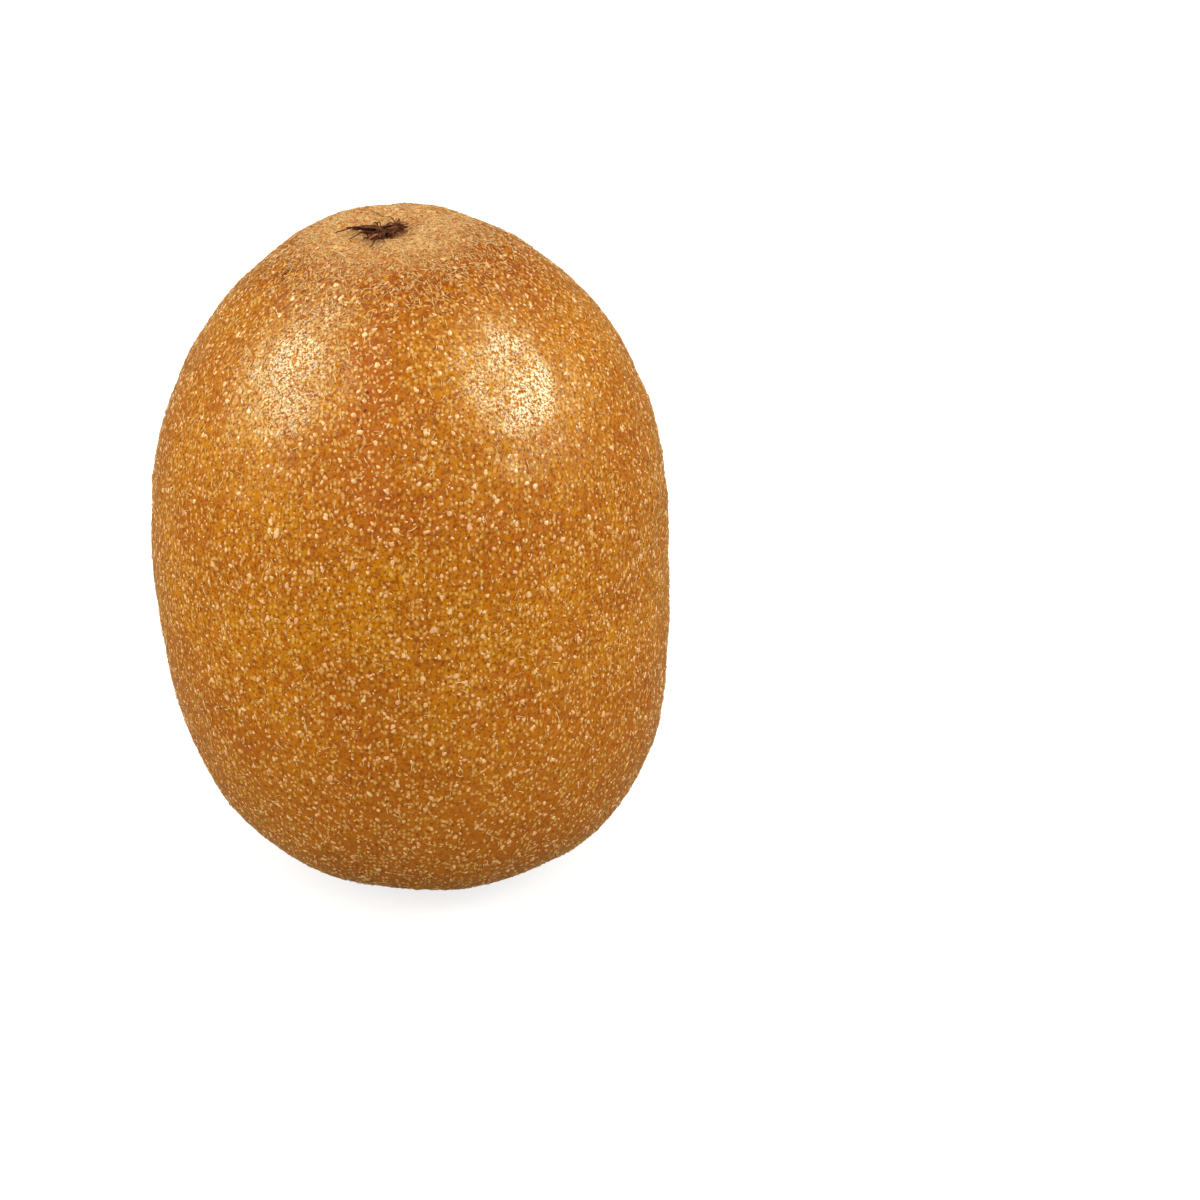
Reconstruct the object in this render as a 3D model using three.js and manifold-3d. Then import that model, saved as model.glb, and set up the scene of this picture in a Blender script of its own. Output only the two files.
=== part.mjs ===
// A golden kiwifruit, whole, standing on its stem end with the withered flower remains on top.
// Millimetres, +Z up. The origin is at the bottom centre of the part's box, on the surface it
// stands on. +X is to the right and -Y towards the viewer.

import * as THREE from "three";
import { mergeVertices } from "three/addons/utils/BufferGeometryUtils.js";
import Module from "manifold-3d";

// The body is a smooth egg: blunt at the stem end, tapering at the blossom end. A bluntness of 2 is
// an ellipse, a higher one is boxier and a lower one more pointed.
const BODY = {
  radius: 26,
  halfLength: 35.1,
  tipBluntness: 1.91,
  baseBluntness: 2.9,
  leanDeg: -4.5,
};

// One flank is fuller than the other: shares of the radius, the second changing sign along the axis.
const FLANK = { fuller: 0.022, twist: -0.025 };

// Low ridges that run from end to end, as shares of the radius.
const RIDGES = [
  { count: 2, share: 0.008, towardsDeg: 34 },
  { count: 3, share: 0.006, towardsDeg: 20 },
  { count: 5, share: 0.004, towardsDeg: 63 },
];

// The eye is the puckered hollow at the blossom end.
const EYE = { depth: 2.4, reach: 4.2, puckers: 5, puckerShare: 0.14, puckerTurnDeg: 20 };

// The stem end has a shallow recess with the round scar of the stalk in it.
const STEM_RECESS = { depth: 1.3, reach: 3.1 };
const STEM_SCAR = { height: 0.65, reach: 2 };

// How much of the underside is pressed flat where the fruit stands.
const FLAT_DEPTH = 0.4;

// Facets of the body. Rows crowd towards both ends, where the hollows are.
const GRID = { around: 64, along: 48, crowding: 0.66 };

// The dried flower parts spring from a small pad in the eye, in four sprays.
const PAD = { radius: 1.4, halfHeight: 0.45, clearance: 0.35, around: 14, along: 8 };
const SPRAYS = [
  { towardsDeg: 190, spreadDeg: 44, count: 5, reach: 4.9 },
  { towardsDeg: 16, spreadDeg: 40, count: 4, reach: 3.7 },
  { towardsDeg: 262, spreadDeg: 64, count: 3, reach: 2.9 },
  { towardsDeg: 100, spreadDeg: 84, count: 3, reach: 3.4 },
];
const STYLE = {
  rootRadius: 0.36,
  tipRadius: 0.25,
  startReach: 0.4,
  clearance: 0.78,
  arch: 0.15,
  curlDeg: 16,
  shortestShare: 0.55,
  sides: 5,
  steps: 5,
};

const COLOURS = { skin: 0xb8792f, driedFlower: 0x4a2716 };

// Corners closer together than this are one corner.
const MERGE_WITHIN = 1e-4;

const radians = THREE.MathUtils.degToRad;
const leanMatrix = new THREE.Matrix4().makeRotationY(radians(BODY.leanDeg));

// Distance from the centre to the smooth body, before the hollows.
function smoothRadius(polar, turn) {
  const along = Math.cos(polar);
  const across = Math.sin(polar);
  const bluntness = THREE.MathUtils.lerp(BODY.tipBluntness, BODY.baseBluntness, (1 - along) / 2);
  const plain = Math.pow(
    Math.pow(Math.abs(along) / BODY.halfLength, bluntness) +
      Math.pow(Math.abs(across) / BODY.radius, bluntness),
    -1 / bluntness,
  );
  const flank = across * Math.cos(turn) * Math.cos(2 * polar) * (FLANK.fuller + FLANK.twist * along);
  const ridges = RIDGES.reduce(
    (sum, { count, share, towardsDeg }) => sum + share * Math.cos(count * (turn - radians(towardsDeg))),
    0,
  );
  return plain * (1 + flank + across * across * ridges);
}

// Depth of the eye, or of the recess less its scar, at a distance from the fruit's own axis.
function hollow(fromAxis, turn, isTip) {
  if (isTip) {
    const share = fromAxis / EYE.reach;
    const folds = Math.cos(EYE.puckers * (turn - radians(EYE.puckerTurnDeg)));
    return EYE.depth * Math.exp(-share * share) * (1 + EYE.puckerShare * share * share * folds);
  }
  const recess = STEM_RECESS.depth * Math.exp(-Math.pow(fromAxis / STEM_RECESS.reach, 4));
  const scar = STEM_SCAR.height * Math.exp(-Math.pow(fromAxis / STEM_SCAR.reach, 6));
  return recess - scar;
}

// A point on the skin, leaning as the fruit leans, or lifted off it along the fruit's axis.
function skinPoint(polar, turn, lift = 0) {
  const smooth = smoothRadius(polar, turn);
  const radius = smooth - hollow(smooth * Math.sin(polar), turn, polar < Math.PI / 2);
  return new THREE.Vector3(
    radius * Math.sin(polar) * Math.cos(turn),
    radius * Math.sin(polar) * Math.sin(turn),
    radius * Math.cos(polar) + lift,
  ).applyMatrix4(leanMatrix);
}

// The body: a sphere's grid laid over the egg, with its lowest points pressed into one flat face.
function fruitGeometry() {
  const geometry = new THREE.SphereGeometry(1, GRID.around, GRID.along);
  const uv = geometry.getAttribute("uv");
  const position = geometry.getAttribute("position");
  for (let i = 0; i < position.count; i++) {
    const share = 1 - uv.getY(i);
    const crowded = share - (GRID.crowding * Math.sin(2 * Math.PI * share)) / (2 * Math.PI);
    const point = skinPoint(Math.PI * crowded, Math.PI * (2 * uv.getX(i) + 1));
    position.setXYZ(i, point.x, point.y, point.z);
  }
  geometry.computeBoundingBox();
  const floor = geometry.boundingBox.min.z + FLAT_DEPTH;
  for (let i = 0; i < position.count; i++) position.setZ(i, Math.max(position.getZ(i), floor));
  geometry.computeBoundingBox();
  return geometry;
}

// A tapered strand: a cylinder bent along a curve, its height becoming the way along the curve.
function strandGeometry(curve) {
  const { rootRadius, tipRadius, sides, steps } = STYLE;
  const geometry = new THREE.CylinderGeometry(tipRadius, rootRadius, 1, sides, steps);
  const position = geometry.getAttribute("position");
  const up = new THREE.Vector3(0, 0, 1);
  for (let i = 0; i < position.count; i++) {
    const along = THREE.MathUtils.clamp(position.getY(i) + 0.5, 0, 1);
    const tangent = curve.getTangent(along);
    const side = new THREE.Vector3().crossVectors(up, tangent).normalize();
    const top = new THREE.Vector3().crossVectors(side, tangent);
    const point = curve
      .getPoint(along)
      .addScaledVector(side, position.getX(i))
      .addScaledVector(top, position.getZ(i));
    position.setXYZ(i, point.x, point.y, point.z);
  }
  return geometry;
}

// One dried style's line: out from the pad, over the eye's floor and curling sideways at the tip.
function styleCurve(towardsDeg, reach, curlDeg) {
  const points = [];
  for (let step = 0; step <= STYLE.steps; step++) {
    const share = step / STYLE.steps;
    const fromAxis = THREE.MathUtils.lerp(STYLE.startReach, reach, share);
    const turn = radians(towardsDeg + curlDeg * share * share);
    const lift = STYLE.clearance + STYLE.arch * Math.sin(Math.PI * share);
    points.push(skinPoint(fromAxis / BODY.halfLength, turn, lift));
  }
  return new THREE.CatmullRomCurve3(points);
}

// The lines of every style in every spray. Outer ones in a spray are shorter and curl outwards.
function styleCurves() {
  return SPRAYS.flatMap(({ towardsDeg, spreadDeg, count, reach }) =>
    Array.from({ length: count }, (_, i) => {
      const offset = i / (count - 1) - 0.5;
      const shortening = 1 - (1 - STYLE.shortestShare) * Math.abs(2 * offset);
      return styleCurve(towardsDeg + spreadDeg * offset, reach * shortening, STYLE.curlDeg * 2 * offset);
    }),
  );
}

// The pad that the styles spring from, just clear of the eye's floor.
function padGeometry() {
  const centre = skinPoint(0, 0, PAD.clearance + PAD.halfHeight);
  return new THREE.SphereGeometry(1, PAD.around, PAD.along)
    .rotateX(Math.PI / 2)
    .scale(PAD.radius, PAD.radius, PAD.halfHeight)
    .applyMatrix4(leanMatrix)
    .translate(centre.x, centre.y, centre.z);
}

// Joins closed geometries into one closed geometry.
function joined(wasm, geometries) {
  const solids = geometries.map((geometry) => {
    const bare = geometry.clone();
    bare.deleteAttribute("normal");
    bare.deleteAttribute("uv");
    const merged = mergeVertices(bare, MERGE_WITHIN);
    return new wasm.Manifold(
      new wasm.Mesh({
        numProp: 3,
        vertProperties: new Float32Array(merged.getAttribute("position").array),
        triVerts: new Uint32Array(merged.index.array),
      }),
    );
  });
  const mesh = solids.reduce((all, solid) => all.add(solid)).getMesh();
  return new THREE.BufferGeometry()
    .setAttribute("position", new THREE.BufferAttribute(new Float32Array(mesh.vertProperties), 3))
    .setIndex(new THREE.BufferAttribute(new Uint32Array(mesh.triVerts), 1));
}

function namedMesh(name, geometry, material) {
  const mesh = new THREE.Mesh(geometry, new THREE.MeshStandardMaterial(material));
  mesh.name = name;
  return mesh;
}

const wasm = await Module();
wasm.setup();

const body = fruitGeometry();
const { min, max } = body.boundingBox;

const kiwifruit = new THREE.Group();
kiwifruit.position.set(-(min.x + max.x) / 2, -(min.y + max.y) / 2, -min.z);
kiwifruit.add(
  namedMesh("fruit", body, { color: COLOURS.skin, roughness: 0.45, metalness: 0 }),
  namedMesh("dried_styles", joined(wasm, [padGeometry(), ...styleCurves().map(strandGeometry)]), {
    color: COLOURS.driedFlower,
    roughness: 0.85,
    metalness: 0,
  }),
);

const part = new THREE.Group();
part.add(kiwifruit);

export default part;
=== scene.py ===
"""A whole golden kiwifruit in plain studio light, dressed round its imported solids.

The fruit stands on its blunt stem end, with the withered remains of its flower in the eye on top.
Shapes are worked out in millimetres in the fruit's own frame, whose origin is the middle of the
fruit and whose +Z runs along its length to the eye. They are then leaned and set down where the
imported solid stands, and the meshes are in metres.
"""

import logging
import math
from collections.abc import Callable
from dataclasses import dataclass, field
from enum import Enum

import bpy
import numpy as np
from mathutils import Matrix, Vector


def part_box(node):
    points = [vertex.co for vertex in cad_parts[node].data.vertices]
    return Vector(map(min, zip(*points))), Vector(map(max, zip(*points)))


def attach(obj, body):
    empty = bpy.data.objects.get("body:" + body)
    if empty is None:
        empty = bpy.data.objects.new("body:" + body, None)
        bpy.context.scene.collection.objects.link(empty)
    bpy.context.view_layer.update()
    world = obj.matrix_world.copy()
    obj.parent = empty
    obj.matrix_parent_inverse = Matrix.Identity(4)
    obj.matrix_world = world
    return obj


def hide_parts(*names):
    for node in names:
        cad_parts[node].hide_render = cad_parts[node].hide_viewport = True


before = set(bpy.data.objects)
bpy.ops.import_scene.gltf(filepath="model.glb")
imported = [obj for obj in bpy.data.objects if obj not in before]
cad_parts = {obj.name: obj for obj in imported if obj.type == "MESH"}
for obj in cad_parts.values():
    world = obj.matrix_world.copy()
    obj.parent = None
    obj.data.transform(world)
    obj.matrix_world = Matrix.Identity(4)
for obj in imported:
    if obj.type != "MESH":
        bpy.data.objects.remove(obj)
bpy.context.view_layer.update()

log = logging.getLogger("golden_kiwifruit")

Array = np.ndarray
Colour = tuple[float, float, float, float]
Levels = tuple[tuple[float, float], ...]
Material = bpy.types.Material
Node = bpy.types.Node
Socket = bpy.types.NodeSocket
Tree = bpy.types.NodeTree
Feed = Socket | float | tuple[float, ...]

MM = 0.001
PER_MM = 1000.0
GOLDEN_ANGLE = math.pi * (3 - math.sqrt(5))

# A strand closes this far beyond its first and last rings, as shares of their radii.
ROOT_CAP = 0.4
TIP_CAP = 1.5

# How far two and three waves round a dome's rim change its outline, as shares of its width.
RIM_LOBES = (0.16, 0.12)

# Distances from the axis where down begins and where it is densest, at the eye and the stem end.
DOWN_AT_EYE = (15.0, 6.5)
DOWN_AT_STEM = (12.0, 5.0)


def srgb(red: int, green: int, blue: int) -> Colour:
    """Turns a screen colour into the linear light that shaders use.

    Each channel c, as a share of 255, becomes ((c + 0.055) / 1.055) to the power 2.4, or c / 12.92
    where it is very dark.

    Args:
        red: Red, from 0 to 255.
        green: Green, from 0 to 255.
        blue: Blue, from 0 to 255.

    Returns:
        The linear colour, with an alpha of 1.
    """
    shares = [channel / 255 for channel in (red, green, blue)]
    linear = [s / 12.92 if s <= 0.04045 else ((s + 0.055) / 1.055) ** 2.4 for s in shares]
    return (*linear, 1.0)


def unit(vectors: Array) -> Array:
    """Returns the vectors at length 1."""
    return vectors / np.linalg.norm(vectors, axis=-1, keepdims=True)


def smooth_step(low: float, high: float, value: Array) -> Array:
    """Runs from 0 at low to 1 at high with level ends: 3 t² - 2 t³ of the share t of the way.

    Args:
        low: Where it leaves 0.
        high: Where it reaches 1, which may be below low.
        value: The values to look up.

    Returns:
        A share from 0 to 1 for each value.
    """
    share = np.clip((value - low) / (high - low), 0, 1)
    return share * share * (3 - 2 * share)


@dataclass(frozen=True)
class Swell:
    """One size of unevenness in the skin, in millimetres."""

    spacing: float
    height: float


@dataclass
class Unevenness:
    """Low random swells all over the skin: plane waves in random directions, added together."""

    swells: tuple[Swell, ...] = (Swell(10.0, 0.075), Swell(4.2, 0.035), Swell(1.9, 0.014))
    waves: int = 18
    spread: float = 0.3
    seed: int = 11
    sets: list[tuple[Array, Array, float]] = field(init=False, default_factory=list)

    def __post_init__(self) -> None:
        """Draws each size's wave numbers and phases."""
        rng = np.random.default_rng(self.seed)
        for swell in self.swells:
            headings = unit(rng.normal(size=(self.waves, 3)))
            stretch = rng.uniform(1 - self.spread, 1 + self.spread, (self.waves, 1))
            phases = rng.uniform(0, 2 * math.pi, self.waves)
            height = swell.height * math.sqrt(2 / self.waves)
            self.sets.append((headings * stretch * 2 * math.pi / swell.spacing, phases, height))

    def at(self, points: Array) -> Array:
        """Height at each point: the sum over all waves of height * cos(number . point + phase)."""
        total = np.zeros(points.shape[:-1])
        for numbers, phases, height in self.sets:
            total += height * np.cos(points @ numbers.T + phases).sum(-1)
        return total


@dataclass(frozen=True)
class Ridge:
    """A set of low ridges that run from end to end, as a share of the radius."""

    count: int
    share: float
    towards_deg: float


@dataclass(frozen=True)
class Eye:
    """The puckered hollow at the blossom end, in millimetres from the fruit's axis."""

    depth: float = 2.4
    reach: float = 4.2
    puckers: int = 5
    pucker_share: float = 0.14
    pucker_turn_deg: float = 20.0
    folds: int = 11
    fold_height: float = 0.11
    fold_ring: float = 5.6
    fold_width: float = 2.6

    def hollow(self, from_axis: Array, turn: Array) -> Array:
        """Depth below the smooth form.

        A bell of the distance from the axis, deeper and shallower by turns in its puckers, and
        finer folds in a ring round it that wander a little as they run out.

        Args:
            from_axis: Distance from the fruit's axis.
            turn: Angle about the axis, in radians.

        Returns:
            The depth at each place.
        """
        share = from_axis / self.reach
        puckers = np.cos(self.puckers * (turn - math.radians(self.pucker_turn_deg)))
        bell = self.depth * np.exp(-share * share) * (1 + self.pucker_share * share * share * puckers)
        ring = np.exp(-(((from_axis - self.fold_ring) / self.fold_width) ** 2))
        wander = np.sin(3 * turn + 0.35 * from_axis) + 0.5 * np.sin(2 * turn - 0.2 * from_axis)
        return bell + self.fold_height * ring * np.cos(self.folds * turn + wander)


@dataclass(frozen=True)
class StemEnd:
    """The shallow recess at the stem end and the stalk's round scar in it, in millimetres."""

    depth: float = 1.3
    reach: float = 3.1
    scar_height: float = 0.65
    scar_reach: float = 2.0

    def hollow(self, from_axis: Array) -> Array:
        """Depth below the smooth form: a flat-floored recess less a flat-topped scar."""
        recess = self.depth * np.exp(-((from_axis / self.reach) ** 4))
        return recess - self.scar_height * np.exp(-((from_axis / self.scar_reach) ** 6))


@dataclass(frozen=True)
class Sites:
    """Places on the skin with the directions there: out of it, to the stem end, and across."""

    points: Array
    normals: Array
    down: Array
    across: Array

    def towards(self, headings: Array) -> Array:
        """Directions along the skin, at angles from straight down the fruit."""
        return np.cos(headings)[:, None] * self.down + np.sin(headings)[:, None] * self.across


@dataclass
class FruitForm:
    """The fruit's outer form, as a distance from its middle in every direction, in millimetres."""

    radius: float = 26.0
    half_length: float = 35.1
    tip_bluntness: float = 1.91
    base_bluntness: float = 2.9
    lean_deg: float = -4.5
    fuller: float = 0.022
    twist: float = -0.025
    flat_depth: float = 0.4
    under_solid: float = 0.08
    finite_step: float = 0.004
    measuring_grid: tuple[int, int, float] = (180, 120, 0.3)
    widest_share: float = 1.12
    shake_share: float = 0.42
    clear_of_floor: float = 0.25
    ridges: tuple[Ridge, ...] = (Ridge(2, 0.008, 34), Ridge(3, 0.006, 20), Ridge(5, 0.004, 63))
    eye: Eye = Eye()
    stem: StemEnd = StemEnd()
    unevenness: Unevenness = field(default_factory=Unevenness)
    middle: Array = field(init=False)

    def __post_init__(self) -> None:
        """Finds where the fruit's middle stands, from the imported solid's box."""
        self.middle = np.zeros(3)
        low, high = (np.array(corner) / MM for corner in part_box("fruit"))
        leaning = self.leaned(self.surface(self.grid(*self.measuring_grid), uneven=False))
        own_low, own_high = leaning.min(0), leaning.max(0)
        self.middle = (low + high - own_low - own_high) / 2
        self.middle[2] = low[2] - own_low[2] - self.flat_depth

    @staticmethod
    def grid(around: int, rings: int, crowding: float) -> Array:
        """Directions on rings from the eye to the stem end, with each end itself left out.

        Ring i of n stands at the share s = i / (n + 1) of the half turn, less
        crowding * sin(2 pi s) / (2 pi), so that rings crowd towards both ends.

        Args:
            around: Directions in a ring.
            rings: How many rings.
            crowding: How much closer than even the rings stand at the ends, from 0 to 1.

        Returns:
            Unit vectors, ring after ring.
        """
        share = np.arange(1, rings + 1) / (rings + 1)
        polar = math.pi * (share - crowding * np.sin(2 * math.pi * share) / (2 * math.pi))
        turn = np.arange(around) * 2 * math.pi / around
        polar, turn = np.meshgrid(polar, turn, indexing="ij")
        parts = (np.sin(polar) * np.cos(turn), np.sin(polar) * np.sin(turn), np.cos(polar))
        return np.stack(parts, -1).reshape(-1, 3)

    def distance(self, directions: Array, uneven: bool = True) -> Array:
        """Distance from the middle to the skin.

        The smooth form joins along / half_length and across / radius by a power, the bluntness,
        that runs evenly from the tip's to the base's. One flank is fuller, low ridges run from
        end to end, and the hollows at both ends are taken off.

        Args:
            directions: Unit vectors in the fruit's own frame.
            uneven: Whether the skin's small swells are added.

        Returns:
            One distance for each direction.
        """
        along = directions[..., 2]
        across = np.hypot(directions[..., 0], directions[..., 1])
        turn = np.arctan2(directions[..., 1], directions[..., 0])
        power = self.tip_bluntness + (self.base_bluntness - self.tip_bluntness) * (1 - along) / 2
        plain = (np.abs(along) / self.half_length) ** power + (across / self.radius) ** power
        plain = plain ** (-1 / power)
        flank = across * np.cos(turn) * (2 * along * along - 1) * (self.fuller + self.twist * along)
        ridges = sum(r.share * np.cos(r.count * (turn - math.radians(r.towards_deg))) for r in self.ridges)
        smooth = plain * (1 + flank + across * across * ridges)
        from_axis = smooth * across
        hollow = np.where(along > 0, self.eye.hollow(from_axis, turn), self.stem.hollow(from_axis))
        swells = self.unevenness.at(directions * self.radius) if uneven else 0
        return smooth - hollow - self.under_solid + swells

    def surface(self, directions: Array, uneven: bool = True) -> Array:
        """Points on the skin in the given directions."""
        return directions * self.distance(directions, uneven)[..., None]

    def normals(self, directions: Array) -> Array:
        """Directions out of the skin: the cross product of two short steps along it.

        Args:
            directions: Unit vectors from the middle.

        Returns:
            A unit vector for each.
        """
        near_axis = np.abs(directions[..., 2:]) > 0.9
        helper = np.where(near_axis, np.array([1.0, 0, 0]), np.array([0, 0, 1.0]))
        first = unit(np.cross(helper, directions))
        second = np.cross(directions, first)
        here = self.surface(directions)
        step_one = self.surface(unit(directions + self.finite_step * first)) - here
        step_two = self.surface(unit(directions + self.finite_step * second)) - here
        return unit(np.cross(step_one, step_two))

    def sites(self, directions: Array) -> Sites:
        """Places on the skin, with the directions down the fruit and across it.

        Args:
            directions: Unit vectors from the middle, none along the axis.

        Returns:
            The places.
        """
        normals = self.normals(directions)
        across = unit(np.cross(normals, np.array([0, 0, 1.0])))
        return Sites(self.surface(directions), normals, np.cross(normals, across) * -1, across)

    def leaned(self, points: Array) -> Array:
        """Points turned by the lean about Y and moved to where the fruit stands."""
        lean = math.radians(self.lean_deg)
        x = points[..., 0] * math.cos(lean) + points[..., 2] * math.sin(lean)
        z = points[..., 2] * math.cos(lean) - points[..., 0] * math.sin(lean)
        return np.stack([x, points[..., 1], z], -1) + self.middle

    def placed(self, points: Array) -> Array:
        """Leaned points in metres, with what would lie below the surface pressed flat on it."""
        leaned = self.leaned(points)
        leaned[..., 2] = np.maximum(leaned[..., 2], 0)
        return leaned * MM

    def scatter(self, per_mm2: float, density: Callable[[Array], Array], rng: np.random.Generator) -> Array:
        """Scatters places over the skin, evenly by area and thinned out by a density.

        A Fibonacci spiral of directions is shaken by a share of its spacing. One is kept with the
        chance that the skin's area for that direction has of the largest, times the density,
        and none is kept close to what the fruit stands on.

        Args:
            per_mm2: How many stand on a square millimetre where the density is 1.
            density: Gives a share from 0 to 1 for points on the skin, in the fruit's own frame.
            rng: The source of chance.

        Returns:
            The directions that are kept.
        """
        widest_area = (self.half_length * self.widest_share) ** 2
        count = int(4 * math.pi * widest_area * per_mm2)
        index = np.arange(count) + 0.5
        height = 1 - 2 * index / count
        ring = np.sqrt(1 - height * height)
        turn = index * GOLDEN_ANGLE
        spiral = np.stack([ring * np.cos(turn), ring * np.sin(turn), height], -1)
        shake = self.shake_share * math.sqrt(4 * math.pi / count)
        directions = unit(spiral + shake * rng.normal(size=spiral.shape))
        reach = self.distance(directions, uneven=False)
        points = directions * reach[:, None]
        area = reach**2 / (directions * self.normals(directions)).sum(-1)
        kept = rng.random(count) < area / widest_area * density(points)
        kept &= self.leaned(points)[:, 2] > self.clear_of_floor
        return directions[kept]


def from_axis(points: Array) -> Array:
    """Distance of points from the fruit's axis, in millimetres."""
    return np.hypot(points[..., 0], points[..., 1])


def downy(points: Array) -> Array:
    """How much of the skin is covered by down: all of it round the eye, and some at the stem end."""
    away = from_axis(points)
    top = np.where(points[..., 2] > 0, smooth_step(*DOWN_AT_EYE, away), 0)
    return top + np.where(points[..., 2] < 0, 0.6 * smooth_step(*DOWN_AT_STEM, away), 0)


@dataclass
class Shape:
    """A mesh in the making: vertices in millimetres, triangles, and values at the vertices."""

    vertices: Array
    triangles: Array
    values: dict[str, Array] = field(default_factory=dict)

    @staticmethod
    def joined(shapes: list["Shape"]) -> "Shape":
        """Returns one shape that holds all of them."""
        starts = np.cumsum([0] + [len(s.vertices) for s in shapes[:-1]])
        values = {name: np.concatenate([s.values[name] for s in shapes]) for name in shapes[0].values}
        return Shape(
            np.concatenate([s.vertices for s in shapes]),
            np.concatenate([s.triangles + start for s, start in zip(shapes, starts)]),
            values,
        )


def ring_triangles(rings: int, around: int) -> Array:
    """Triangles that join rings of vertices into a closed body with a point at each end.

    The vertices are the first point, the rings one after another, and the last point. The rings
    turn anticlockwise as seen from beyond the first point.

    Args:
        rings: How many rings.
        around: Vertices in a ring.

    Returns:
        Vertex numbers, three to a triangle, facing out.
    """
    here = np.arange(around)
    beside = (here + 1) % around
    last = 1 + rings * around
    first_cap = np.stack([np.zeros_like(here), 1 + here, 1 + beside], -1)
    starts = 1 + around * np.arange(rings - 1)[:, None]
    a, b = starts + here, starts + beside
    c, d = b + around, a + around
    walls = np.concatenate([np.stack(corners, -1).reshape(-1, 3) for corners in ((a, d, b), (b, d, c))])
    end = last - around
    last_cap = np.stack([np.full_like(here, last), end + beside, end + here], -1)
    return np.concatenate([first_cap, walls, last_cap])


def repeated(triangles: Array, copies: int, vertices_each: int) -> Array:
    """Vertex numbers of the same triangles for each of many copies of a small body."""
    offsets = vertices_each * np.arange(copies)[:, None, None]
    return (triangles[None] + offsets).reshape(-1, 3)


def strands(
    paths: Array,
    normals: Array,
    radii: Array,
    sides: int,
    flatness: float,
    twist: Array | None = None,
) -> Shape:
    """Closed, tapering strands along paths.

    A ring of radius r stands across each path point. A place in it at the angle a lies at
    r * (cos a * side + flatness * sin a * up), where side is square to the path and the skin.

    Args:
        paths: Points, as strands x steps x 3.
        normals: Directions away from the skin at those points.
        radii: Half widths, as strands x steps.
        sides: How many faces go round a strand.
        flatness: Height of a strand as a share of its width.
        twist: How far each ring is turned about the path, in radians, as strands x steps.

    Returns:
        The shape, with the value "along" that runs from 0 at each root to 1 at its end.
    """
    count, steps, _ = paths.shape
    tangent = unit(np.gradient(paths, axis=1))
    side = unit(np.cross(tangent, normals))
    up = np.cross(side, tangent)
    angle = 2 * math.pi * np.arange(sides) / sides
    turned = np.zeros((count, steps)) if twist is None else twist
    one = np.cos(turned)[..., None] * side + np.sin(turned)[..., None] * up
    two = flatness * (np.cos(turned)[..., None] * up - np.sin(turned)[..., None] * side)
    rings = np.cos(angle)[:, None] * one[:, :, None] + np.sin(angle)[:, None] * two[:, :, None]
    rings = paths[:, :, None] + radii[..., None, None] * rings
    root = paths[:, :1] - tangent[:, :1] * radii[:, :1, None] * ROOT_CAP
    tip = paths[:, -1:] + tangent[:, -1:] * radii[:, -1:, None] * TIP_CAP
    vertices = np.concatenate([root, rings.reshape(count, steps * sides, 3), tip], 1)
    along = np.concatenate([[0], np.repeat(np.linspace(0, 1, steps), sides), [1]])
    return Shape(
        vertices.reshape(-1, 3),
        repeated(ring_triangles(steps, sides), count, steps * sides + 2),
        {"along": np.tile(along, count)},
    )


def domes(
    sites: Sites,
    widths: Array,
    slimness: Array,
    headings: Array,
    heights: Array,
    levels: Levels,
    sides: int,
    rng: np.random.Generator,
) -> Shape:
    """Low closed domes on the skin with a wavy outline.

    A place at the angle a on a level stands at reach * width * (1 + lobes(a)) from the middle and
    at rise * height above the skin, where each level is (reach, rise). The lobes are two and
    three waves round the rim with random phases.

    Args:
        sites: Where they stand.
        widths: Half of each one's longest width.
        slimness: Each one's shortest width as a share of its longest.
        headings: Angle of the longest width from straight down the fruit.
        heights: Height of each one's top.
        levels: Reach and rise of each ring, from the top one to the sunken rim.
        sides: Places in a ring.
        rng: The source of chance.

    Returns:
        The shape, with the value "along" that runs from 0 at the rim to 1 at the top.
    """
    count = len(widths)
    angle = 2 * math.pi * np.arange(sides) / sides
    phases = rng.uniform(0, 2 * math.pi, (count, 2, 1))
    two, three = RIM_LOBES
    lobes = 1 + two * np.cos(2 * angle + phases[:, 0]) + three * np.cos(3 * angle + phases[:, 1])
    long = sites.towards(headings)
    short = np.cross(sites.normals, long)
    narrow = slimness[:, None, None] * short[:, None]
    flat = np.cos(angle)[:, None] * long[:, None] + np.sin(angle)[:, None] * narrow
    rim = flat * (widths[:, None] * lobes)[..., None]
    rings = [
        sites.points[:, None] + reach * rim + (rise * heights)[:, None, None] * sites.normals[:, None]
        for reach, rise in levels
    ]
    top = sites.points + heights[:, None] * sites.normals
    under = sites.points + (levels[-1][1] * heights)[:, None] * sites.normals
    vertices = np.concatenate([top[:, None], *rings, under[:, None]], 1)
    along = np.concatenate([[1.0], np.repeat([max(rise, 0.0) for _, rise in levels], sides), [0.0]])
    return Shape(
        vertices.reshape(-1, 3),
        repeated(ring_triangles(len(levels), sides), count, len(levels) * sides + 2),
        {"along": np.tile(along, count)},
    )


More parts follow.
